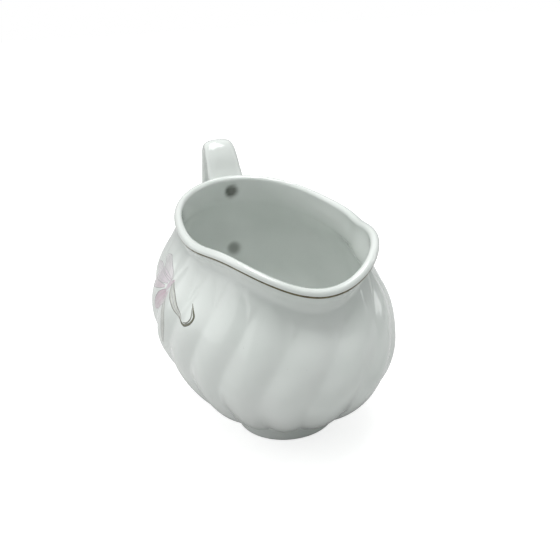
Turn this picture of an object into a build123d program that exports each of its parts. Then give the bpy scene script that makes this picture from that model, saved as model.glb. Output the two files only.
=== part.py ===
from build123d import *
import math
import os

# Porcelain cream jug: an oval, pot-bellied bowl with sixteen swirling lobes, a rolled lip
# that runs down to a broad pouring end, a strap ear handle, a low foot ring, a gilt line
# under the lip and an on-glaze flower spray on each flank near the handle.
# Frame: origin in the middle of the foot ring's resting plane, +Z up, +X to the pouring
# end, handle on -X. All sizes in millimetres.

# ---------------------------------------------------------------- driving dimensions
# lip centre line, as cosine series in the plan angle (0 = pouring end, 180 = handle)
LIP_R = (36.54, -3.43, 7.98, -0.53, 0.60, -0.38, -0.32)
LIP_Z = (73.25, -5.45, 0.03, -2.31, -0.93, -0.82, -0.16)
LIP_ROUND = 1.6            # radius of the rolled lip
NECK_PINCH = (1.11, 2.21, 0.34)    # neck inside the lip line, cosine series
NECK_DROP = (6.24, 1.99)           # neck below the lip line
NECK_LEAN = (-0.63, 0.256)         # inward lean of the wall as it reaches the neck
UPPER_FULL = (1.55, 1.09)          # fullness of the shoulder at the belly and at the neck
BELLY_R = (46.05, -7.155, 5.86)
BELLY_Z = (38.43, -3.97)
BASE_R = 18.4              # where the bowl leaves the foot ring
BASE_Z = 5.8
BASE_LEAVE = (0.98, 0.2)   # direction in which the wall leaves the foot ring
LOWER_FULL = 0.761
WALL = 2.6                 # bowl wall
FLOOR_Z = 9.0              # flat middle of the floor inside
FLOOR_R = 11.0

LOBES = 16
LOBE_DEPTH = 1.7           # groove to crown at the fullest
LOBE_INSIDE = 0.35         # share of the lobes that shows inside
LOBE_SWIRL = 22.0          # degrees that a groove turns from low to high
LOBE_START = -35.0         # plan angle of one groove low on the bowl
LOBE_TURN_Z = (22.0, 62.0)
LOBE_TOP = 10.0            # lobes end this far below the lip line
LOBE_FADE = 10.0
GROOVE_SOFT = 0.22

FOOT_R_LOW = 18.1
FOOT_R_TOP = 18.3
FOOT_IN_LOW = 15.2
FOOT_IN_TOP = 14.4
FOOT_EDGE = 0.7

HANDLE_PATH = [            # x, z of the strap's middle, upper root to lower root
    (-46.8, 72.4),
    (-50.6, 77.6),
    (-53.4, 83.2),
    (-55.8, 88.8),
    (-59.2, 92.9),
    (-63.0, 90.8),
    (-67.0, 83.6),
    (-70.2, 75.0),
    (-71.2, 66.4),
    (-69.2, 58.6),
    (-64.4, 53.6),
    (-56.0, 51.0),
]
HANDLE_Y = 0.6             # the strap is luted on a little off the middle plane
HANDLE_W = (14.6, 14.0, 13.0, 11.4, 10.4, 10.0, 10.0, 10.4, 11.2, 12.4)   # width, evenly along
HANDLE_T = (7.2, 6.4, 5.8, 5.2, 5.0, 4.9, 4.9, 5.0, 5.4, 6.2)        # and its thickness
ROOT_HOLE_D = 5.4          # hollow in each end of the handle, open to the inside
ROOT_HOLE_HIGH = (76.2, 5.4)   # height, depth behind the inner wall face
ROOT_HOLE_LOW = (51.9, 5.0)

GILT_WIDTH = 0.9
GILT_ANGLE = -28.0         # position round the lip's section, from outward, downward

SKIN = 0.15                # thickness allowed for the fired-on gold and colour

# outlines of the flower spray seen square to the flank, as (x, z)
PETALS = [
    [(-8.8, 58.4), (-13.4, 59.3), (-18.4, 60.1), (-22.8, 60.9), (-24.0, 62.6), (-22.4, 64.3),
     (-17.4, 63.9), (-12.6, 61.8), (-9.2, 59.3)],
    [(-10.8, 57.0), (-16, 56.5), (-23, 56.1), (-29, 56.6), (-31.2, 58.3), (-29.2, 60.0),
     (-23, 59.5), (-16, 58.7), (-11.4, 57.8)],
    [(-12.0, 55.7), (-17, 53.9), (-23, 52.8), (-27.6, 53.0), (-28.8, 54.0), (-27.4, 55.2),
     (-23, 55.5), (-17, 55.9)],
    [(-9.2, 54.6), (-10.4, 51.4), (-13.2, 48.4), (-16.6, 46.4), (-18.6, 46.2), (-18.2, 48.2),
     (-16.4, 51.0), (-13.2, 53.4), (-10.4, 55.0)],
]
LEAVES = [
    [(-8.4, 58.4), (-6.0, 55.4), (-3.0, 53.4), (0.2, 50.9), (4.5, 48.9), (8.9, 48.4),
     (11.6, 50.0), (12.0, 52.2), (10.2, 54.2), (7.8, 55.6), (9.4, 53.6), (11.0, 52.2),
     (10.4, 50.6), (8.6, 49.4), (5.4, 49.9), (2.4, 52.2), (-1.0, 55.6), (-4.4, 57.4)],
    [(-8.5, 53.6), (-8.8, 50.0), (-7.7, 45.4), (-8.4, 41.0), (-9.1, 36.6), (-7.6, 37.6),
     (-6.0, 41.0), (-4.9, 45.4), (-5.3, 49.4), (-7.4, 53.0)],
]

POINTS_PER_LOBE = 6


# ---------------------------------------------------------------- shape of the bowl
def series(c, ph):
    return sum(v * math.cos(k * ph) for k, v in enumerate(c))


def smooth(t):
    t = max(0.0, min(1.0, t))
    return t * t * (3 - 2 * t)


def herm(p0, p1, m0, m1, t):
    a = 2 * t**3 - 3 * t**2 + 1
    b = t**3 - 2 * t**2 + t
    c = -2 * t**3 + 3 * t**2
    d = t**3 - t**2
    return tuple(a * p0[i] + b * m0[i] + c * p1[i] + d * m1[i] for i in (0, 1))


def stations(ph):
    """Base, belly, neck and lip points of the wall's outside at one plan angle."""
    lip = (series(LIP_R, ph), series(LIP_Z, ph))
    neck = (lip[0] - series(NECK_PINCH, ph), lip[1] - series(NECK_DROP, ph))
    belly = (series(BELLY_R, ph), series(BELLY_Z, ph))
    return (BASE_R, BASE_Z), belly, neck, lip


def dist(a, b):
    return math.hypot(a[0] - b[0], a[1] - b[1])


def plain(ph, s):
    """Wall outside without lobes. s from 0 at the base, 1 at the belly, 2 at the neck."""
    base, belly, neck, lip = stations(ph)
    if s <= 1:
        d = dist(base, belly)
        n = math.hypot(*BASE_LEAVE)
        m0 = tuple(v / n * d * LOWER_FULL for v in BASE_LEAVE)
        return herm(base, belly, m0, (0, d * 1.25 * LOWER_FULL), s)
    d = dist(belly, neck)
    lean = (d * series(NECK_LEAN, ph), d * UPPER_FULL[1])
    return herm(belly, neck, (0, d * UPPER_FULL[0]), lean, s - 1)


def groove_angle(z):
    lo, hi = LOBE_TURN_Z
    return math.radians(LOBE_START + LOBE_SWIRL * smooth((z - lo) / (hi - lo)))


def lobe(ph, z, lip_z, s):
    th = LOBES * (ph - groove_angle(z)) / 2
    crown = math.sqrt(math.sin(th) ** 2 + GROOVE_SOFT**2) - 0.68
    low = 0.25 + 0.75 * smooth(s / 0.45)
    high = smooth((lip_z - LOBE_TOP - z) / LOBE_FADE)
    mid = 1 - 0.35 * smooth((s - 0.7) / 0.8)
    return LOBE_DEPTH * crown * low * high * mid


def outside(ph, s, grow=0.0):
    r, z = plain(ph, s)
    lip_z = series(LIP_Z, ph)
    if s > 0:
        r += lobe(ph, z, lip_z, s)
    return r + grow, z


def inside(ph, s):
    e = 1e-3
    a, b = plain(ph, max(0, s - e)), plain(ph, min(2, s + e))
    t = (b[0] - a[0], b[1] - a[1])
    n = math.hypot(*t)
    r, z = plain(ph, s)
    lip_z = series(LIP_Z, ph)
    r, z = r - t[1] / n * WALL, z + t[0] / n * WALL
    return r + LOBE_INSIDE * lobe(ph, z, lip_z, s), z


def lip_point(ph, deg, radius=LIP_ROUND):
    r, z = series(LIP_R, ph), series(LIP_Z, ph)
    a = math.radians(deg)
    return r + radius * math.cos(a), z + radius * math.sin(a)


def closed_spline(pts):
    """Closed spline with evenly spaced parameters, so that neighbouring sections match."""
    n = len(pts)
    return Wire([Edge.make_spline(pts, periodic=True, parameters=[i / n for i in range(n + 1)])])


def ring(f):
    n = LOBES * POINTS_PER_LOBE
    pts = []
    for i in range(n):
        ph = 2 * math.pi * i / n
        r, z = f(ph)
        pts.append(Vector(r * math.cos(ph), r * math.sin(ph), z))
    return closed_spline(pts)


OUT_S = (0.08, 0.2, 0.34, 0.5, 0.66, 0.82, 1.0, 1.18, 1.36, 1.54, 1.72, 1.88, 2.0)
LIP_OUT = (-52, -28, -4, 28, 60, 90)
LIP_IN = (90, 120, 152, 186)
IN_S = (1.95, 1.76, 1.56, 1.36, 1.18, 1.0, 0.84, 0.68, 0.52, 0.38, 0.27, 0.2)


def outer_shell(grow=0.0):
    """Outside of the wall from the base to the top of the lip."""
    rings = [ring(lambda ph: (BASE_R + grow, BASE_Z))]
    rings += [ring(lambda ph, s=s: outside(ph, s, grow)) for s in OUT_S]
    rings += [ring(lambda ph, d=d: lip_point(ph, d, LIP_ROUND + grow)) for d in LIP_OUT]
    return Shell.make_loft(rings), rings[0], rings[-1]


def inner_shell():
    """Inside of the wall from the top of the lip to the flat of the floor."""
    rings = [ring(lambda ph, d=d: lip_point(ph, d)) for d in LIP_IN]
    rings += [ring(lambda ph, s=s: inside(ph, s)) for s in IN_S]
    rings += [ring(lambda ph: (FLOOR_R, FLOOR_Z))]
    return Shell.make_loft(rings), rings[-1]


def bowl_solid():
    out, low, _ = outer_shell()
    inn, floor = inner_shell()
    faces = [f for f in (*out.faces(), *inn.faces()) if f.area > 1]
    return Solid(Shell([*faces, Face(low), Face(floor)]))


def filled_solid(grow=0.0):
    """The bowl's outside as one full body, carried straight up above the lip."""
    out, low, top = outer_shell(grow)
    cap = ring(lambda ph: (series(LIP_R, ph), 99.0))
    up = Shell.make_loft([top, cap], ruled=True)
    return Solid(Shell([*out.faces(), *up.faces(), Face(low), Face(cap)]))


def turned(profile):
    """Solid of revolution round Z from (r, z) points."""
    wire = Wire.make_polygon([Vector(r, 0, z) for r, z in profile], close=True)
    return Solid.revolve(Face(wire), 360, Axis.Z)


def biggest(shape):
    return max(shape.solids(), key=lambda s: s.volume)


# ---------------------------------------------------------------- body
body_raw = bowl_solid()


def wall_x(z, inner=False):
    """x of the wall face on the handle's side at height z."""
    lo, hi = 0.5, 2.0
    f = (lambda s: inside(math.pi, s)) if inner else (lambda s: outside(math.pi, s))
    for _ in range(50):
        mid = (lo + hi) / 2
        if f(mid)[1] < z:
            lo = mid
        else:
            hi = mid
    return -f(lo)[0]


def root_hole(z, depth):
    x_in = wall_x(z, True)
    plane = Plane(origin=(x_in + 4.0, 1.0, z), x_dir=(0, 1, 0), z_dir=(-1, 0, 0))
    tool = Solid.make_cylinder(ROOT_HOLE_D / 2, depth + 4.0 - ROOT_HOLE_D / 2, plane)
    end = Vector(x_in - depth + ROOT_HOLE_D / 2, 1.0, z)
    ball = Solid.make_sphere(ROOT_HOLE_D / 2, Plane(origin=end), -90, 90, 360)
    return tool.fuse(ball)


high_hole = root_hole(*ROOT_HOLE_HIGH)
low_hole = root_hole(*ROOT_HOLE_LOW)
body = biggest(body_raw.cut(high_hole, low_hole))

# ---------------------------------------------------------------- foot ring
foot = turned([
    (FOOT_IN_LOW + 0.5, 0.0),
    (FOOT_R_LOW - FOOT_EDGE, 0.0),
    (FOOT_R_LOW - 0.2, 0.25),
    (FOOT_R_LOW, FOOT_EDGE),
    (FOOT_R_TOP, BASE_Z),
    (FOOT_IN_TOP, BASE_Z),
    (FOOT_IN_LOW, 0.5),
])


# ---------------------------------------------------------------- handle
def strap_section(centre, tangent, width, thick):
    """Flattened oval across the handle's path."""
    n = 20
    t = Vector(tangent[0], 0, tangent[1]).normalized()
    y = Vector(0, 1, 0)
    m = t.cross(y)
    pts = []
    for i in range(n):
        a = 2 * math.pi * i / n
        c, s = math.cos(a), math.sin(a)
        u = math.copysign(abs(c) ** 0.8, c) * width / 2
        v = math.copysign(abs(s) ** 0.9, s) * thick / 2
        pts.append(Vector(centre[0], HANDLE_Y, centre[1]) + y * u + m * v)
    return closed_spline(pts)


def along(values, u):
    k = u * (len(values) - 1)
    i = min(int(k), len(values) - 2)
    return values[i] + (values[i + 1] - values[i]) * smooth(k - i)


def handle_solid():
    path = Edge.make_spline([Vector(p[0], 0, p[1]) for p in HANDLE_PATH])
    sections = 18
    wires = []
    for i in range(sections):
        u = i / (sections - 1)
        p, t = path.position_at(u), path.tangent_at(u)
        wires.append(strap_section((p.X, p.Z), (t.X, t.Z), along(HANDLE_W, u), along(HANDLE_T, u)))
    return Solid.make_loft(wires)


filled = filled_solid()
skinned = filled_solid(SKIN)
handle_raw = handle_solid()
handle = biggest(handle_raw.cut(filled))
handle = biggest(handle.cut(high_hole, low_hole))


# ---------------------------------------------------------------- gilt line and colours
def skin_of(tools):
    """What the tools cut out of the thin layer that covers the bowl's outside."""
    out = []
    for tool in tools:
        for piece in tool.cut(filled).solids():
            hit = piece.intersect(skinned)
            for shape in hit if isinstance(hit, (list, tuple)) else [hit]:
                out += [x for x in shape.solids() if x.volume > 0.05]
    return out


def gilt_tool():
    """A square-section ring through the lip's outer lower round."""
    half = math.degrees(GILT_WIDTH / 2 / LIP_ROUND)
    n = 96

    def loop(deg, radius):
        pts = []
        for i in range(n):
            ph = 2 * math.pi * i / n
            r, z = lip_point(ph, deg, radius)
            pts.append(Vector(r * math.cos(ph), r * math.sin(ph), z))
        return closed_spline(pts)

    a, b = GILT_ANGLE - half, GILT_ANGLE + half
    inner, outer = LIP_ROUND - 0.6, LIP_ROUND + 0.6
    rings = [loop(a, inner), loop(a, outer), loop(b, outer), loop(b, inner)]
    faces = []
    for i in range(4):
        faces += Shell.make_loft([rings[i], rings[(i + 1) % 4]], ruled=True).faces()
    return Solid(Shell(faces))


def flank_prism(outline, side):
    """The outline carried across one flank; side -1 is the -Y flank, 1 the +Y flank."""
    face = Face(Wire.make_polygon([Vector(x, side * 60, z) for x, z in outline], close=True))
    return Solid.extrude(face, Vector(0, -side * 50, 0))


parts = {
    "body": [body],
    "foot_ring": [foot],
    "handle": [handle],
    "rim_gilt_line": skin_of([gilt_tool()]),
    "flower_petals_left": skin_of([flank_prism(o, -1) for o in PETALS]),
    "flower_leaves_left": skin_of([flank_prism(o, -1) for o in LEAVES]),
    "flower_petals_right": skin_of([flank_prism(o, 1) for o in PETALS]),
    "flower_leaves_right": skin_of([flank_prism(o, 1) for o in LEAVES]),
}

if __name__ == "__main__":
    os.makedirs("parts", exist_ok=True)
    for name, solids in parts.items():
        shape = solids[0] if len(solids) == 1 else Compound(children=solids)
        export_step(shape, f"parts/{name}.step")
        print(name, "volume", round(sum(x.volume for x in solids), 1), "solids", len(solids),
              "valid", all(x.is_valid for x in solids))
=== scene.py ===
import math
import bpy
import numpy as np
from mathutils import Matrix, Vector


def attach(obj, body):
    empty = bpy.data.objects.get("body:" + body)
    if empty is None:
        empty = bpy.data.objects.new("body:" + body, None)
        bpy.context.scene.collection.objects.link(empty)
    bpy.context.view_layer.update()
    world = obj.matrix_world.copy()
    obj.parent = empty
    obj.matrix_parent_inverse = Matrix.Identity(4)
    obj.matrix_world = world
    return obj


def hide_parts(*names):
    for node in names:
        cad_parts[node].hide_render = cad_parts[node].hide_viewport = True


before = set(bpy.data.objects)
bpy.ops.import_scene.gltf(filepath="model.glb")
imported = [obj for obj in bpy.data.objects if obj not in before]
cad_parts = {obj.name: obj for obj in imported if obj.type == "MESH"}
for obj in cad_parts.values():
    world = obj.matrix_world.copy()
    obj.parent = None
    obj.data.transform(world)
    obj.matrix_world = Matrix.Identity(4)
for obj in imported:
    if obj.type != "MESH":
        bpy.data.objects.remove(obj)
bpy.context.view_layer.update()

MM = 0.001
TAU = 2 * math.pi

# ------------------------------------------------------------------ shape of the jug (mm)
LIP_R = (36.54, -3.43, 7.98, -0.53, 0.60, -0.38, -0.32)
LIP_Z = (73.25, -5.45, 0.03, -2.31, -0.93, -0.82, -0.16)
LIP_ROUND = 1.6
NECK_PINCH = (1.11, 2.21, 0.34)
NECK_DROP = (6.24, 1.99)
NECK_LEAN = (-0.63, 0.256)
UPPER_FULL = (1.55, 1.09)
BELLY_R = (46.05, -7.155, 5.86)
BELLY_Z = (38.43, -3.97)
BASE_R, BASE_Z = 18.4, 5.8
BASE_LEAVE = (0.98, 0.2)
LOWER_FULL = 0.761
WALL = 2.6
FLOOR_Z, FLOOR_R = 9.0, 11.0

LOBES = 16
LOBE_DEPTH = 1.95
LOBE_INSIDE = 0.45
LOBE_SWIRL = 22.0
LOBE_START = -35.0
LOBE_TURN_Z = (22.0, 62.0)
GROOVE_SOFT = 0.34

HANDLE_PATH = [
    (-48.4, 74.4), (-50.6, 77.6), (-53.4, 83.2), (-55.8, 88.8), (-59.2, 92.9), (-63.0, 90.8),
    (-67.0, 83.6), (-70.2, 75.0), (-71.2, 66.4), (-69.2, 58.6), (-64.4, 53.6), (-57.2, 51.2),
]
HANDLE_Y = 0.6
HANDLE_W = (14.6, 14.0, 13.0, 11.4, 10.4, 10.0, 10.0, 10.4, 11.2, 12.4)
HANDLE_T = (7.0, 6.2, 5.8, 5.2, 5.0, 4.9, 4.9, 5.0, 5.4, 6.2)

NPH = 576


def series(c, ph):
    return sum(v * np.cos(k * ph) for k, v in enumerate(c))


def smooth(t):
    t = np.clip(t, 0.0, 1.0)
    return t * t * (3 - 2 * t)


def herm(p0, p1, m0, m1, t):
    a = 2 * t**3 - 3 * t**2 + 1
    b = t**3 - 2 * t**2 + t
    c = -2 * t**3 + 3 * t**2
    d = t**3 - t**2
    return tuple(a * p0[i] + b * m0[i] + c * p1[i] + d * m1[i] for i in (0, 1))


def plain(ph, s):
    """Outside of the wall with no lobes; s 0 base, 1 belly, 2 neck. Arrays in, arrays out."""
    ph = np.asarray(ph, float)
    s = np.asarray(s, float) + 0 * ph
    lip = (series(LIP_R, ph), series(LIP_Z, ph))
    neck = (lip[0] - series(NECK_PINCH, ph), lip[1] - series(NECK_DROP, ph))
    belly = (series(BELLY_R, ph), series(BELLY_Z, ph))
    base = (BASE_R + 0 * ph, BASE_Z + 0 * ph)
    d0 = np.hypot(base[0] - belly[0], base[1] - belly[1])
    n = math.hypot(*BASE_LEAVE)
    lo = herm(base, belly, (BASE_LEAVE[0] / n * d0 * LOWER_FULL, BASE_LEAVE[1] / n * d0 * LOWER_FULL),
              (0 * d0, d0 * 1.25 * LOWER_FULL), np.clip(s, 0, 1))
    d1 = np.hypot(belly[0] - neck[0], belly[1] - neck[1])
    hi = herm(belly, neck, (0 * d1, d1 * UPPER_FULL[0]), (d1 * series(NECK_LEAN, ph), d1 * UPPER_FULL[1]), np.clip(s - 1, 0, 1))
    return np.where(s <= 1, lo[0], hi[0]), np.where(s <= 1, lo[1], hi[1])


def groove_angle(z):
    lo, hi = LOBE_TURN_Z
    return np.radians(LOBE_START + LOBE_SWIRL * smooth((z - lo) / (hi - lo)))


def lobe(ph, z, lip_z, s):
    th = LOBES * (ph - groove_angle(z)) / 2
    side = np.abs(np.sin(th))
    crown = np.sqrt(side**2 + GROOVE_SOFT**2) - 0.74
    low = 0.35 + 0.65 * smooth(s / 0.4)
    # each lobe ends in a pointed arch: highest over its crown, lowest at the grooves
    top = lip_z - 15.0 + 6.5 * side
    high = smooth((top - z) / 6.0 + 0.5)
    mid = 1 - 0.3 * smooth((s - 0.7) / 0.8)
    return LOBE_DEPTH * crown * low * high * mid


def outside(ph, s, grow=0.0):
    r, z = plain(ph, s)
    return r + lobe(ph, z, series(LIP_Z, ph), s) + grow, z


def inside(ph, s):
    e = 1e-3
    a, b = plain(ph, np.maximum(0, s - e)), plain(ph, np.minimum(2, s + e))
    tr, tz = b[0] - a[0], b[1] - a[1]
    n = np.hypot(tr, tz)
    r, z_out = plain(ph, s)
    r, z = r - tz / n * WALL, z_out + tr / n * WALL
    return r + LOBE_INSIDE * lobe(ph, z_out, series(LIP_Z, ph), s) * smooth((1.5 - s) / 0.5), z


def lip_point(ph, deg, radius=LIP_ROUND):
    a = math.radians(deg)
    return series(LIP_R, ph) + radius * math.cos(a), series(LIP_Z, ph) + radius * math.sin(a)


# ------------------------------------------------------------------ mesh helpers
def to_mesh(name, verts, faces, shade=True):
    me = bpy.data.meshes.new(name)
    me.from_pydata([tuple(v) for v in verts], [], faces)
    me.update()
    me.validate()
    if shade:
        me.polygons.foreach_set("use_smooth", [True] * len(me.polygons))
    ob = bpy.data.objects.new(name, me)
    bpy.context.scene.collection.objects.link(ob)
    return ob


def loft(name, rows, low_cap=None, high_cap=None):
    """Closed skin through rings of points (rows of n x 3 arrays, mm), run so normals point out."""
    n = len(rows[0])
    verts = np.concatenate(rows) * MM
    faces = []
    for k in range(len(rows) - 1):
        a, b = k * n, (k + 1) * n
        faces += [(a + i, a + (i + 1) % n, b + (i + 1) % n, b + i) for i in range(n)]
    verts = list(map(tuple, verts))
    if low_cap is not None:
        verts.append(tuple(np.array(low_cap) * MM))
        c = len(verts) - 1
        faces += [(c, (i + 1) % n, i) for i in range(n)]
    if high_cap is not None:
        verts.append(tuple(np.array(high_cap) * MM))
        c = len(verts) - 1
        o = (len(rows) - 1) * n
        faces += [(c, o + i, o + (i + 1) % n) for i in range(n)]
    return to_mesh(name, verts, faces)


def ring_xyz(ph, r, z):
    return np.stack([r * np.cos(ph), r * np.sin(ph), z + 0 * ph], axis=1)


PH = np.arange(NPH) * TAU / NPH

# ------------------------------------------------------------------ bowl
ROOT_HOLES = [  # z, radius, depth, edge softness, y
    (76.2, 2.6, 1.2, 0.9, 1.3),
    (49.6, 2.9, 0.9, 1.0, 3.0),
]


def dimple(p):
    """Push the inner wall back where the handle's two hollow roots open into the bowl."""
    q = p.copy()
    for zc, rad, depth, soft, yc in ROOT_HOLES:
        d = np.hypot(p[:, 1] - yc, p[:, 2] - zc)
        f = 1 - smooth((d - rad * (1 - soft * 0.5)) / (rad * soft * 1.2))
        f = np.where(p[:, 0] < -30, f, 0.0)
        bowl = np.sqrt(np.clip(1 - (d / (rad * 1.15)) ** 2, 0.0, 1.0)) * 0.35 + 0.65
        q[:, 0] -= depth * f * bowl
    return q


rows = []
rows.append(ring_xyz(PH, 6.0 + 0 * PH, 6.35))
rows.append(ring_xyz(PH, 12.0 + 0 * PH, 6.15))
rows.append(ring_xyz(PH, 14.6 + 0 * PH, 5.9))
rows.append(ring_xyz(PH, 17.4 + 0 * PH, 5.8))
for s in np.concatenate([np.linspace(0, 0.3, 26), np.linspace(0.3, 1.9, 104)[1:], np.linspace(1.9, 2.0, 5)[1:]]):
    r, z = outside(PH, s)
    rows.append(ring_xyz(PH, r, z))
# under the lip: neck end to the lip's round
LIP_A = -50.0
r0, z0 = outside(PH, 2.0)
r1, z1 = lip_point(PH, LIP_A)
d = np.hypot(r1 - r0, z1 - z0)
ta = math.radians(LIP_A)
lean_r, lean_z = series(NECK_LEAN, PH), UPPER_FULL[1] + 0 * PH
lean_n = np.hypot(lean_r, lean_z)
lean_r, lean_z = lean_r / lean_n, lean_z / lean_n
for t in np.linspace(0, 1, 13)[1:]:
    r, z = herm((r0, z0), (r1, z1), (lean_r * d * 0.9, lean_z * d * 0.9), (-math.sin(ta) * d * 0.8, math.cos(ta) * d * 0.8), t)
    rows.append(ring_xyz(PH, r, z))
for deg in np.linspace(LIP_A, 186, 44)[1:]:
    r, z = lip_point(PH, deg)
    rows.append(ring_xyz(PH, r, z))
inner_from = len(rows)
r0, z0 = lip_point(PH, 186)
r1, z1 = inside(PH, 1.9)
r2, z2 = inside(PH, 1.88)
dn = np.hypot(r2 - r1, z2 - z1)
d = np.hypot(r1 - r0, z1 - z0)
ta = math.radians(186)
for t in np.linspace(0, 1, 9)[1:]:
    r, z = herm((r0, z0), (r1, z1), (-math.sin(ta) * d * 0.9, math.cos(ta) * d * 0.9), ((r2 - r1) / dn * d, (z2 - z1) / dn * d), t)
    rows.append(ring_xyz(PH, r, z))
for s in np.linspace(1.9, 0.22, 118)[1:]:
    r, z = inside(PH, s)
    rows.append(ring_xyz(PH, r, z))
r0, z0 = inside(PH, 0.22)
ra, za = inside(PH, 0.24)
n = np.hypot(r0 - ra, z0 - za)
d = np.hypot(r0 - 4.0, z0 - FLOOR_Z)
for t in np.linspace(0, 1, 16)[1:]:
    r, z = herm((r0, z0), (4.0 + 0 * PH, FLOOR_Z + 0 * PH), ((r0 - ra) / n * d, (z0 - za) / n * d), (-d * 0.8, 0 * d), t)
    rows.append(ring_xyz(PH, r, z))
# painted shade mask: how far the inner wall is pushed back into each root hollow, 0 to 1
hollow_shade_depths = []
for k, p in enumerate(rows):
    q = dimple(p) if k >= inner_from else p
    hollow_shade_depths.append(np.clip((p[:, 0] - q[:, 0] - 0.1) / 1.0, 0, 1) ** 1.4)
    rows[k] = q
bowl = loft("jug_bowl", rows, low_cap=(0, 0, 6.4), high_cap=(0, 0, FLOOR_Z))
# how deep a point lies in a root hollow; it masks painted shade, a darker base colour in the hollows
deep = np.concatenate(hollow_shade_depths + [np.zeros(2)])
att = bowl.data.color_attributes.new("hollow", "FLOAT_COLOR", "POINT")
att.data.foreach_set("color", np.stack([deep, deep, deep, np.ones_like(deep)], axis=1).ravel())
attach(bowl, "root")
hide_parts("body")

# ------------------------------------------------------------------ foot ring
profile = [
    (14.3, 5.95), (14.45, 4.0), (14.7, 2.0), (15.0, 1.0), (15.5, 0.35), (16.1, 0.06), (16.7, 0.0),
    (17.25, 0.08), (17.7, 0.32), (18.0, 0.75), (18.1, 1.4), (18.08, 2.4), (18.02, 3.4), (18.04, 4.3),
    (18.2, 5.0), (18.5, 5.5), (18.95, 5.95), (18.0, 6.6), (16.0, 6.5),
]
NF = 288
PF = np.arange(NF) * TAU / NF


def resample(pts, n):
    """Catmull-Rom through points, n evenly spaced parameters."""
    p = np.array(pts, float)
    k = len(p)
    out = []
    for u in np.linspace(0, k - 1, n):
        i = min(int(u), k - 2)
        t = u - i
        a, b, c, d = p[max(i - 1, 0)], p[i], p[i + 1], p[min(i + 2, k - 1)]
        out.append(0.5 * ((2 * b) + (c - a) * t + (2 * a - 5 * b + 4 * c - d) * t**2 + (3 * b - a - 3 * c + d) * t**3))
    return np.array(out)


prof = resample(profile, 73)
verts, faces = [], []
m = len(prof)
for r, z in prof:
    wob = 0.10 * np.cos(LOBES * (PF - math.radians(LOBE_START + 11.25))) * smooth((z - 3.2) / 2.6) if r > 17.5 else 0
    verts.append(ring_xyz(PF, r + wob + 0 * PF, z))
verts = np.concatenate(verts) * MM
for k in range(m):
    a, b = k * NF, ((k + 1) % m) * NF
    faces += [(a + i, a + (i + 1) % NF, b + (i + 1) % NF, b + i) for i in range(NF)]
foot = to_mesh("jug_foot", verts, faces)
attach(foot, "root")
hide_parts("foot_ring")

# ------------------------------------------------------------------ handle
SG = np.linspace(0.3, 2.0, 240)


def wall_mid_r(ph, z):
    """Radius of the middle of the wall at one plan angle and height."""
    r, zz = outside(np.full_like(SG, ph), SG)
    return float(np.interp(z, zz, r)) - WALL * 0.5


def along(values, u):
    k = u * (len(values) - 1)
    i = min(int(k), len(values) - 2)
    t = k - i
    return values[i] + (values[i + 1] - values[i]) * t * t * (3 - 2 * t)


path = resample(HANDLE_PATH, 400)
seg = np.concatenate([[0], np.cumsum(np.hypot(*np.diff(path, axis=0).T))])
total = seg[-1]
NS, NC = 190, 56
rows = []
ws = np.interp(np.linspace(0, 1, NS), np.linspace(0, 1, 60), [along(HANDLE_W, v) for v in np.linspace(0, 1, 60)])
ts = np.interp(np.linspace(0, 1, NS), np.linspace(0, 1, 60), [along(HANDLE_T, v) for v in np.linspace(0, 1, 60)])
for k in range(NS):
    u = k / (NS - 1)
    at = u * total
    c = np.array([np.interp(at, seg, path[:, 0]), np.interp(at, seg, path[:, 1])])
    lo, hi = max(at - 1.2, 0), min(at + 1.2, total)
    t = np.array([np.interp(hi, seg, path[:, 0]) - np.interp(lo, seg, path[:, 0]),
                  np.interp(hi, seg, path[:, 1]) - np.interp(lo, seg, path[:, 1])])
    t /= np.hypot(*t)
    flare = 1 + 0.10 * math.exp(-((at / 5.0) ** 2)) + 0.30 * math.exp(-(((total - at) / 4.5) ** 2))
    w, th = ws[k] * flare, ts[k] * (1 + (flare - 1) * 1.2)
    a = np.arange(NC) * TAU / NC
    cu = HANDLE_Y + np.sign(np.cos(a)) * np.abs(np.cos(a)) ** 0.72 * w / 2
    cv = np.sign(np.sin(a)) * np.abs(np.sin(a)) ** 0.82 * th / 2
    m = np.array([-t[1], t[0]])
    rows.append(np.stack([c[0] + m[0] * cv, cu, c[1] + m[1] * cv], axis=1))


def set_back(p):
    """Keep the root clear of the hollows that open into the bowl behind it."""
    for zc, rad, depth, soft, yc in ROOT_HOLES:
        d = math.hypot(p[1] - yc, p[2] - zc)
        f = float(1 - smooth((d - rad * 1.5) / (rad * 0.5)))
        face = -float(wall_mid_r(math.pi, p[2])) - 0.9
        if f > 0 and p[0] > face:
            p[0] += (face - p[0]) * f


for row in rows:
    for p in row:
        if p[2] < 81.0 and p[0] > -62:
            ph = math.atan2(p[1], p[0])
            r = math.hypot(p[0], p[1])
            rm = wall_mid_r(ph, p[2])
            if r < rm and p[2] < 79.8:
                p[0], p[1] = p[0] * rm / r, p[1] * rm / r
            set_back(p)


def hollow_cap(row, c, axis):
    """Rings that close a root inside the wall, set back behind the hollow seen in the bowl."""
    out = []
    for f in np.linspace(1, 0, 15)[1:-1]:
        q = c + (row - c) * f
        for v in q:
            ph, r = math.atan2(v[1], v[0]), math.hypot(v[0], v[1])
            rm = wall_mid_r(ph, v[2])
            v[0], v[1] = v[0] * rm / r, v[1] * rm / r
            set_back(v)
        out.append(q)
    return out


low_rings = hollow_cap(rows[0], rows[0].mean(axis=0), 0)
high_rings = hollow_cap(rows[-1], rows[-1].mean(axis=0), 0)
rows = low_rings[::-1] + rows + high_rings
handle = loft("jug_handle", rows, low_cap=rows[0].mean(axis=0), high_cap=rows[-1].mean(axis=0))
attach(handle, "root")
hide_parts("handle")

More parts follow.
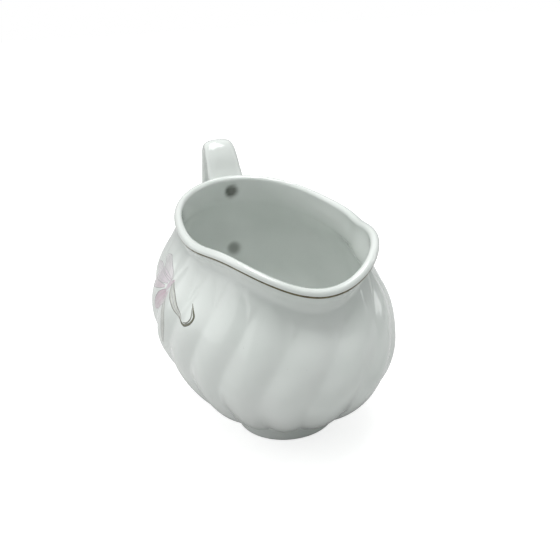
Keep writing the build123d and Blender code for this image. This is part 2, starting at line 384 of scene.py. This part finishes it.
# ------------------------------------------------------------------ gilt line
ga, gh = -28.0, 15.5
rows = []
for k, deg in enumerate(np.linspace(ga - gh, ga + gh, 7)):
    lift = (0.0, 0.03, 0.045, 0.05, 0.045, 0.03, 0.0)[k]
    wob = 1.6 * np.sin(5 * PH + 1.1) + 0.9 * np.sin(13 * PH) + 0.6 * np.sin(29 * PH + 0.4)
    a = np.radians(deg + wob)
    rows.append(ring_xyz(PH, series(LIP_R, PH) + (LIP_ROUND + lift) * np.cos(a), series(LIP_Z, PH) + (LIP_ROUND + lift) * np.sin(a)))
for k, deg in enumerate(np.linspace(ga + gh, ga - gh, 4)):
    a = np.radians(deg)
    rows.append(ring_xyz(PH, series(LIP_R, PH) + (LIP_ROUND - 0.12) * np.cos(a), series(LIP_Z, PH) + (LIP_ROUND - 0.12) * np.sin(a)))
n, m = NPH, len(rows)
faces = []
for k in range(m):
    a, b = k * n, ((k + 1) % m) * n
    faces += [(a + i, a + (i + 1) % n, b + (i + 1) % n, b + i) for i in range(n)]
gilt = to_mesh("jug_gilt_line", np.concatenate(rows) * MM, faces)
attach(gilt, "root")
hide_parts("rim_gilt_line")

# ------------------------------------------------------------------ flower spray
ZT = np.linspace(28, 68, 161)
PT = np.radians(np.linspace(-179, -1, 357))
SS = np.linspace(0.2, 1.98, 400)
TABLE = np.zeros((len(PT), len(ZT)))
for i, ph in enumerate(PT):
    r, z = outside(np.full_like(SS, ph), SS)
    TABLE[i] = np.interp(ZT, z, r)


def on_flank(x, z, side, lift):
    """Point of the bowl's outside seen at (x, z) square to one flank, raised by lift."""
    k = np.clip((z - ZT[0]) / (ZT[1] - ZT[0]), 0, len(ZT) - 1.001)
    i = int(k)
    f = k - i
    r = TABLE[:, i] * (1 - f) + TABLE[:, i + 1] * f
    if side > 0:
        # the far flank has its own lobes
        return far_flank(x, z, lift)
    xs = r * np.cos(PT)
    ph = float(np.interp(x, xs, PT))
    rr = float(np.interp(ph, PT, r)) + lift
    return rr * math.cos(ph), rr * math.sin(ph), z


PT2 = np.radians(np.linspace(1, 179, 357))
TABLE2 = np.zeros((len(PT2), len(ZT)))
for i, ph in enumerate(PT2):
    r, z = outside(np.full_like(SS, ph), SS)
    TABLE2[i] = np.interp(ZT, z, r)


def far_flank(x, z, lift):
    k = np.clip((z - ZT[0]) / (ZT[1] - ZT[0]), 0, len(ZT) - 1.001)
    i = int(k)
    f = k - i
    r = TABLE2[:, i] * (1 - f) + TABLE2[:, i + 1] * f
    xs = (r * np.cos(PT2))[::-1]
    ph = float(np.interp(x, xs, PT2[::-1]))
    rr = float(np.interp(ph, PT2, r)) + lift
    return rr * math.cos(ph), rr * math.sin(ph), z


def frond(spine, half, nu, nv, side, lift, depth=0.10):
    """Closed thin patch along a spine in (x, z), with half widths; returns verts, faces, (u, v)."""
    p = resample(spine, nu)
    h = np.interp(np.linspace(0, 1, nu), np.linspace(0, 1, len(half)), half)
    h = np.convolve(np.pad(h, 3, mode="edge"), np.ones(7) / 7, mode="valid")
    h[0], h[-1] = max(half[0], 0.02), max(half[-1], 0.02)
    t = np.gradient(p, axis=0)
    t /= np.maximum(np.hypot(t[:, 0], t[:, 1])[:, None], 1e-9)
    nrm = np.stack([-t[:, 1], t[:, 0]], axis=1)
    top, low, uv = [], [], []
    for i in range(nu):
        for j in range(nv):
            v = -1 + 2 * j / (nv - 1)
            x, z = p[i] + nrm[i] * h[i] * v
            edge = 1 - abs(v) ** 6
            top.append(on_flank(x, z, side, lift * (0.25 + 0.75 * edge)))
            low.append(on_flank(x, z, side, -depth))
            uv.append((i / (nu - 1), v))
    verts = top + low
    o = len(top)
    faces = []
    for i in range(nu - 1):
        for j in range(nv - 1):
            a, b = i * nv + j, (i + 1) * nv + j
            faces.append((a, b, b + 1, a + 1))
            faces.append((o + a, o + a + 1, o + b + 1, o + b))
    for i in range(nu - 1):
        a, b = i * nv, (i + 1) * nv
        faces.append((a, o + a, o + b, b))
        a, b = i * nv + nv - 1, (i + 1) * nv + nv - 1
        faces.append((a, b, o + b, o + a))
    for j in range(nv - 1):
        faces.append((j, j + 1, o + j + 1, o + j))
        a = (nu - 1) * nv + j
        faces.append((a, o + a, o + a + 1, a + 1))
    if side > 0:
        faces = [tuple(reversed(f)) for f in faces]
    return verts, faces, uv + uv


def spray(name, fronds, side):
    """One mesh from many fronds; a colour attribute carries each frond's own tint."""
    verts, faces, tint = [], [], []
    for spine, half, nu, nv, lift, colour in fronds:
        v, f, uv = frond(spine, half, nu, nv, side, lift)
        o = len(verts)
        verts += v
        faces += [tuple(o + i for i in q) for q in f]
        tint += [colour(a, b) for a, b in uv]
    ob = to_mesh(name, np.array(verts) * MM, faces)
    att = ob.data.color_attributes.new("tint", "FLOAT_COLOR", "POINT")
    att.data.foreach_set("color", np.array([(c[0], c[1], c[2], 1.0) for c in tint]).ravel())
    return ob


def mixc(a, b, t):
    t = min(max(t, 0.0), 1.0)
    return tuple(a[i] * (1 - t) + b[i] * t for i in range(3))


WHITE = (0.76, 0.775, 0.755)
LILAC = (0.63, 0.50, 0.60)
PINK = (0.62, 0.43, 0.52)
GREY = (0.33, 0.32, 0.33)
OLIVE = (0.115, 0.115, 0.07)
SAGE = (0.52, 0.54, 0.46)


def petal_tint(deep, soft):
    def f(u, v):
        streak = 0.5 + 0.5 * math.sin(v * 9 + u * 3)
        base = mixc(deep, soft, 0.25 + 0.75 * u ** 0.8)
        base = mixc(base, WHITE, 0.25 * streak + 0.35 * (1 - abs(v)) * u)
        return base
    return f


def leaf_tint(u, v):
    return mixc(SAGE, WHITE, 0.45 + 0.35 * math.cos(v * 2.4))


def line_tint(c):
    return lambda u, v: c


A = ([(-8.6, 58.7), (-13, 60.5), (-18, 62.0), (-23.6, 62.7)], (0.25, 1.3, 2.0, 1.9, 0.4))
B = ([(-10.6, 57.3), (-16, 57.6), (-23, 57.8), (-31, 58.4)], (0.3, 1.2, 1.8, 2.0, 0.5))
F = ([(-11.8, 55.8), (-17, 54.9), (-23, 54.2), (-28.6, 54.0)], (0.3, 1.0, 1.4, 1.4, 0.3))
C = ([(-9.3, 54.9), (-11.8, 52.4), (-14.8, 49.6), (-18.2, 46.2)], (0.5, 1.9, 2.7, 2.3, 0.4))
D = ([(-8.2, 57.6), (-12, 58.9), (-16.5, 59.7), (-20.4, 59.9)], (0.2, 0.6, 0.8, 0.6, 0.1))
E = ([(-7.8, 55.4), (-8.0, 53.4), (-9.2, 51.4), (-11.2, 49.4)], (0.3, 0.8, 1.0, 0.8, 0.2))
petals = [
    (*A, 60, 17, 0.030, petal_tint(mixc(LILAC, WHITE, 0.45), mixc(LILAC, WHITE, 0.75))),
    (*F, 50, 13, 0.032, petal_tint(mixc(PINK, WHITE, 0.2), mixc(LILAC, WHITE, 0.55))),
    (*B, 60, 17, 0.034, petal_tint(mixc(LILAC, WHITE, 0.1), mixc(LILAC, WHITE, 0.55))),
    (*C, 48, 17, 0.038, petal_tint(PINK, mixc(PINK, WHITE, 0.15))),
    (*D, 36, 9, 0.042, petal_tint(LILAC, mixc(LILAC, WHITE, 0.5))),
    ([(-6.9, 58.8), (-8.6, 57.4), (-9.8, 55.9), (-9.6, 54.6)], (0.2, 0.8, 1.0, 0.8, 0.2), 24, 9, 0.050,
     petal_tint(mixc(PINK, WHITE, 0.1), mixc(LILAC, WHITE, 0.2))),
    (*E, 30, 9, 0.046, petal_tint(mixc(PINK, WHITE, 0.25), mixc(PINK, WHITE, 0.5))),
]


def edge_lines(shape, width, colour, lift, sides=(-1, 1), inset=0.0, nu=70):
    """Fine drawn lines along a frond's edges."""
    spine, half = shape
    p = resample(spine, nu)
    h = np.interp(np.linspace(0, 1, nu), np.linspace(0, 1, len(half)), half)
    h = np.convolve(np.pad(h, 3, mode="edge"), np.ones(7) / 7, mode="valid")
    t = np.gradient(p, axis=0)
    t /= np.maximum(np.hypot(t[:, 0], t[:, 1])[:, None], 1e-9)
    nrm = np.stack([-t[:, 1], t[:, 0]], axis=1)
    out = []
    for sd in sides:
        q = p + nrm * (h * sd * (1 - inset))[:, None]
        out.append(([tuple(v) for v in q], (width * 0.5, width, width * 0.9, width * 0.7, width * 0.25), nu, 5, lift, line_tint(colour)))
    return out


petal_lines = []
petal_lines += edge_lines(A, 0.15, mixc(GREY, WHITE, 0.25), 0.055)
petal_lines += edge_lines(B, 0.13, mixc(GREY, WHITE, 0.35), 0.058)
petal_lines += edge_lines(C, 0.14, mixc(GREY, WHITE, 0.30), 0.062)
petal_lines += edge_lines(D, 0.10, mixc(GREY, WHITE, 0.45), 0.064)
petal_lines += edge_lines(A, 0.08, mixc(GREY, WHITE, 0.6), 0.055, inset=0.55)
petal_lines += edge_lines(B, 0.08, mixc(GREY, WHITE, 0.6), 0.058, inset=0.55)
petal_lines += edge_lines(C, 0.08, mixc(GREY, WHITE, 0.6), 0.062, inset=0.5)

petal_lines += edge_lines(F, 0.12, mixc(GREY, WHITE, 0.4), 0.056)
L1 = ([(-8.2, 58.5), (-5.2, 56.4), (-2.0, 54.4), (1.3, 51.6), (4.9, 49.5)], (0.2, 1.0, 1.4, 1.15, 0.8, 0.3))
L2 = ([(-8.3, 53.4), (-6.9, 49.6), (-6.2, 45.4), (-7.2, 41.0), (-8.9, 36.6)], (0.3, 1.5, 1.4, 1.2, 0.8, 0.2))
HOOK = [
    ([(3.4, 50.2), (5.2, 49.2), (7.0, 48.8), (8.9, 48.9), (11.0, 50.2), (11.6, 52.2), (9.9, 53.9), (7.8, 55.4)],
     (0.14, 0.26, 0.36, 0.42, 0.44, 0.40, 0.30, 0.08)),
    ([(7.4, 49.4), (9.2, 49.8), (10.4, 51.2), (10.1, 52.6), (8.8, 54.2)], (0.12, 0.24, 0.26, 0.20, 0.06)),
]
leaves = [
    (*L1, 60, 11, 0.030, leaf_tint),
    (*L2, 60, 11, 0.030, leaf_tint),
    (*HOOK[0], 80, 7, 0.060, line_tint(OLIVE)),
    (*HOOK[1], 50, 5, 0.064, line_tint(mixc(OLIVE, GREY, 0.2))),
]
leaf_lines = []
leaf_lines += edge_lines(L1, 0.19, mixc(GREY, OLIVE, 0.35), 0.055)
leaf_lines += edge_lines(L1, 0.13, mixc(GREY, WHITE, 0.15), 0.056, inset=1.0, sides=(1,))
leaf_lines += edge_lines(L2, 0.16, mixc(GREY, WHITE, 0.2), 0.055)
leaf_lines += edge_lines(L2, 0.10, mixc(GREY, WHITE, 0.4), 0.056, inset=1.0, sides=(1,))

colour_pieces = []
for side, word in ((-1, "left"), (1, "right")):
    ob = spray("flower_petals_" + word + "_colour", petals + petal_lines, side)
    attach(ob, "root")
    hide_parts("flower_petals_" + word)
    colour_pieces.append(ob)
    ob = spray("flower_leaves_" + word + "_colour", leaves + leaf_lines, side)
    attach(ob, "root")
    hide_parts("flower_leaves_" + word)
    colour_pieces.append(ob)


# ------------------------------------------------------------------ materials
def new_material(name):
    m = bpy.data.materials.new(name)
    m.use_nodes = True
    nt = m.node_tree
    bsdf = nt.nodes["Principled BSDF"]
    return m, nt, bsdf


def noise(nt, scale, detail=2.0, rough=0.5, distort=0.0):
    tc = nt.nodes.new("ShaderNodeTexCoord")
    nn = nt.nodes.new("ShaderNodeTexNoise")
    nn.inputs["Scale"].default_value = scale
    nn.inputs["Detail"].default_value = detail
    nn.inputs["Roughness"].default_value = rough
    nn.inputs["Distortion"].default_value = distort
    nt.links.new(tc.outputs["Object"], nn.inputs["Vector"])
    return nn


def ramp(nt, fac, stops):
    r = nt.nodes.new("ShaderNodeValToRGB")
    e = r.color_ramp.elements
    e[0].position, e[0].color = stops[0][0], (*stops[0][1], 1)
    e[1].position, e[1].color = stops[-1][0], (*stops[-1][1], 1)
    for pos, col in stops[1:-1]:
        x = e.new(pos)
        x.color = (*col, 1)
    nt.links.new(fac, r.inputs["Fac"])
    return r


def map_range(nt, fac, lo, hi):
    r = nt.nodes.new("ShaderNodeMapRange")
    r.inputs["To Min"].default_value = lo
    r.inputs["To Max"].default_value = hi
    nt.links.new(fac, r.inputs["Value"])
    return r


def glaze_bump(nt, bsdf, strength=0.05):
    """Very faint waviness and pinholes of a fired glaze."""
    n1 = noise(nt, 90.0, 2.0)
    n2 = noise(nt, 900.0, 1.0)
    mul = nt.nodes.new("ShaderNodeMath")
    mul.operation = "MULTIPLY_ADD"
    mul.inputs[1].default_value = 0.12
    nt.links.new(n2.outputs["Fac"], mul.inputs[0])
    nt.links.new(n1.outputs["Fac"], mul.inputs[2])
    b = nt.nodes.new("ShaderNodeBump")
    b.inputs["Strength"].default_value = strength
    b.inputs["Distance"].default_value = 0.0006
    nt.links.new(mul.outputs[0], b.inputs["Height"])
    nt.links.new(b.outputs["Normal"], bsdf.inputs["Normal"])


def porcelain(name, tone=1.0, bump=0.05, hollow=False):
    m, nt, bsdf = new_material(name)
    big = noise(nt, 26.0, 3.0, 0.55)
    c0 = tuple(v * tone for v in (0.725, 0.765, 0.735))
    c1 = tuple(v * tone for v in (0.755, 0.787, 0.762))
    c2 = tuple(v * tone for v in (0.78, 0.80, 0.782))
    cr = ramp(nt, big.outputs["Fac"], [(0.3, c0), (0.5, c1), (0.72, c2)])
    specks = noise(nt, 1500.0, 1.0)
    sr = ramp(nt, specks.outputs["Fac"], [(0.0, (0.55, 0.52, 0.47)), (0.205, (0.80, 0.79, 0.77)), (0.22, (1, 1, 1))])
    mix = nt.nodes.new("ShaderNodeMix")
    mix.data_type = "RGBA"
    mix.blend_type = "MULTIPLY"
    mix.inputs[0].default_value = 0.5
    nt.links.new(cr.outputs["Color"], mix.inputs[6])
    nt.links.new(sr.outputs["Color"], mix.inputs[7])
    colour = mix.outputs[2]
    if hollow:
        # painted shade: base colour darkened towards (0.16, 0.17, 0.15) where the hollow attribute is high, in the root
        # hollows
        at = nt.nodes.new("ShaderNodeVertexColor")
        at.layer_name = "hollow"
        painted_shade_mix = nt.nodes.new("ShaderNodeMix")
        painted_shade_mix.data_type = "RGBA"
        painted_shade_mix.inputs[7].default_value = (0.16, 0.17, 0.15, 1)
        nt.links.new(at.outputs["Color"], painted_shade_mix.inputs[0])
        nt.links.new(colour, painted_shade_mix.inputs[6])
        colour = painted_shade_mix.outputs[2]
    nt.links.new(colour, bsdf.inputs["Base Color"])
    rg = map_range(nt, noise(nt, 140.0, 3.0).outputs["Fac"], 0.07, 0.15)
    nt.links.new(rg.outputs[0], bsdf.inputs["Roughness"])
    bsdf.inputs["IOR"].default_value = 1.52
    bsdf.inputs["Coat Weight"].default_value = 0.6
    bsdf.inputs["Coat Roughness"].default_value = 0.03
    bsdf.inputs["Coat IOR"].default_value = 1.5
    glaze_bump(nt, bsdf, bump)
    return m


def assign(ob, m):
    ob.data.materials.clear()
    ob.data.materials.append(m)


# hollow=True adds painted shade in the two root hollows of the bowl
body_mat = porcelain("glazed_porcelain", hollow=True)
assign(bowl, body_mat)
assign(handle, porcelain("glazed_porcelain_handle"))
assign(foot, porcelain("glazed_porcelain_foot", 0.97, 0.08))

m, nt, bsdf = new_material("burnished_gilding")
gn = noise(nt, 700.0, 4.0, 0.6)
gr = ramp(nt, gn.outputs["Fac"], [(0.32, (0.075, 0.065, 0.035)), (0.5, (0.13, 0.112, 0.06)), (0.7, (0.21, 0.18, 0.10))])
nt.links.new(gr.outputs["Color"], bsdf.inputs["Base Color"])
bsdf.inputs["Metallic"].default_value = 0.4
rr = map_range(nt, noise(nt, 400.0, 3.0).outputs["Fac"], 0.22, 0.45)
nt.links.new(rr.outputs[0], bsdf.inputs["Roughness"])
assign(gilt, m)


def enamel(name, wash):
    m, nt, bsdf = new_material(name)
    at = nt.nodes.new("ShaderNodeVertexColor")
    at.layer_name = "tint"
    nn = noise(nt, 420.0, 4.0, 0.65)
    vr = ramp(nt, nn.outputs["Fac"], [(0.3, (1 - wash, 1 - wash, 1 - wash)), (0.7, (1, 1, 1))])
    mix = nt.nodes.new("ShaderNodeMix")
    mix.data_type = "RGBA"
    mix.blend_type = "MULTIPLY"
    mix.inputs[0].default_value = 1.0
    nt.links.new(at.outputs["Color"], mix.inputs[6])
    nt.links.new(vr.outputs["Color"], mix.inputs[7])
    nt.links.new(mix.outputs[2], bsdf.inputs["Base Color"])
    rg = map_range(nt, noise(nt, 260.0, 3.0).outputs["Fac"], 0.10, 0.22)
    nt.links.new(rg.outputs[0], bsdf.inputs["Roughness"])
    bsdf.inputs["IOR"].default_value = 1.52
    bsdf.inputs["Coat Weight"].default_value = 0.6
    bsdf.inputs["Coat Roughness"].default_value = 0.03
    glaze_bump(nt, bsdf, 0.04)
    return m


petal_mat = enamel("petal_colour", 0.10)
leaf_mat = enamel("leaf_colour", 0.22)
for ob in colour_pieces:
    assign(ob, petal_mat if "petals" in ob.name else leaf_mat)

# ------------------------------------------------------------------ floor
bpy.ops.mesh.primitive_plane_add(size=60.0, location=(0, 0, 0))
floor = bpy.context.active_object
floor.name = "studio_floor"
m, nt, bsdf = new_material("studio_floor_paper")
fn = noise(nt, 6.0, 3.0)
fr = ramp(nt, fn.outputs["Fac"], [(0.3, (0.60, 0.60, 0.598)), (0.7, (0.62, 0.62, 0.618))])
bsdf.inputs["Emission Color"].default_value = (1, 1, 1, 1)
flp = nt.nodes.new("ShaderNodeLightPath")
fem = map_range(nt, flp.outputs["Is Camera Ray"], 0.0, 0.72)
nt.links.new(fem.outputs[0], bsdf.inputs["Emission Strength"])
nt.links.new(fr.outputs["Color"], bsdf.inputs["Base Color"])
bsdf.inputs["Roughness"].default_value = 0.85
bsdf.inputs["Specular IOR Level"].default_value = 0.2
assign(floor, m)

# ------------------------------------------------------------------ light
world = bpy.data.worlds.new("studio")
bpy.context.scene.world = world
world.use_nodes = True
wt = world.node_tree
bg = wt.nodes["Background"]
bg.inputs["Strength"].default_value = 1.0
sky_co = wt.nodes.new("ShaderNodeTexCoord")
sky_z = wt.nodes.new("ShaderNodeSeparateXYZ")
wt.links.new(sky_co.outputs["Generated"], sky_z.inputs[0])
sky = ramp(wt, sky_z.outputs["Z"], [(0.0, (0.36, 0.375, 0.37)), (0.45, (0.42, 0.435, 0.43)), (0.75, (0.62, 0.64, 0.63)), (1.0, (0.8, 0.82, 0.81))])
lp = wt.nodes.new("ShaderNodeLightPath")
seen = wt.nodes.new("ShaderNodeMix")
seen.data_type = "RGBA"
seen.inputs[7].default_value = (1, 1, 1, 1)
wt.links.new(lp.outputs["Is Camera Ray"], seen.inputs[0])
side_y = wt.nodes.new("ShaderNodeMath")
side_y.operation = "MULTIPLY_ADD"
side_y.inputs[1].default_value = 0.5
side_y.inputs[2].default_value = 0.5
wt.links.new(sky_z.outputs["Y"], side_y.inputs[0])
dim = ramp(wt, side_y.outputs[0], [(0.0, (1.0, 1.0, 1.0)), (0.5, (0.90, 0.90, 0.90)), (1.0, (0.66, 0.66, 0.67))])
lit = wt.nodes.new("ShaderNodeMix")
lit.data_type = "RGBA"
lit.blend_type = "MULTIPLY"
lit.inputs[0].default_value = 1.0
wt.links.new(sky.outputs["Color"], lit.inputs[6])
wt.links.new(dim.outputs["Color"], lit.inputs[7])
wt.links.new(lit.outputs[2], seen.inputs[6])
wt.links.new(seen.outputs[2], bg.inputs["Color"])


def area(name, where, at, size, power, colour=(1, 1, 1), size_y=None):
    d = bpy.data.lights.new(name, "AREA")
    d.energy = power
    d.color = colour
    d.shape = "RECTANGLE"
    d.size = size
    d.size_y = size_y or size
    o = bpy.data.objects.new(name, d)
    o.location = where
    o.rotation_euler = (Vector(at) - Vector(where)).to_track_quat("-Z", "Y").to_euler()
    bpy.context.scene.collection.objects.link(o)
    return o


area("window_left", (-0.42, -1.05, 0.50), (0, 0, 0.05), 1.4, 4.3)
area("strip_right", (0.16, 0.74, 0.36), (0, 0, 0.05), 0.16, 0.40, size_y=0.42)
area("overhead", (0.05, 0.02, 0.9), (0, 0, 0.05), 0.5, 3.8)
area("lamp_a", (0.10, -0.22, 0.62), (0, 0, 0.08), 0.035, 0.30)
area("lamp_b", (-0.16, 0.10, 0.70), (0, 0, 0.06), 0.03, 0.25, size_y=0.07)
area("lamp_c", (-0.30, 0.02, 0.70), (0, 0, 0.06), 0.03, 0.25, size_y=0.07)

# ------------------------------------------------------------------ camera
FPX = 675.262
C = (205.64 * MM, -81.79 * MM, 138.46 * MM)
R = Vector((0.3908, 0.9188, -0.0555))
B = Vector((0.8676, -0.3475, 0.3556)).normalized()
U = B.cross(R).normalized()
R = U.cross(B).normalized()
cam_data = bpy.data.cameras.new("camera")
cam_data.sensor_width = 36.0
cam_data.lens = FPX * 36.0 / 560.0
cam_data.clip_start = 0.01
cam = bpy.data.objects.new("camera", cam_data)
cam.matrix_world = Matrix((
    (R.x, U.x, B.x, C[0]), (R.y, U.y, B.y, C[1]), (R.z, U.z, B.z, C[2]), (0, 0, 0, 1)))
bpy.context.scene.collection.objects.link(cam)
bpy.context.scene.camera = cam
bpy.context.scene.view_settings.view_transform = "Standard"
bpy.context.scene.view_settings.look = "None"

bpy.context.view_layer.update()
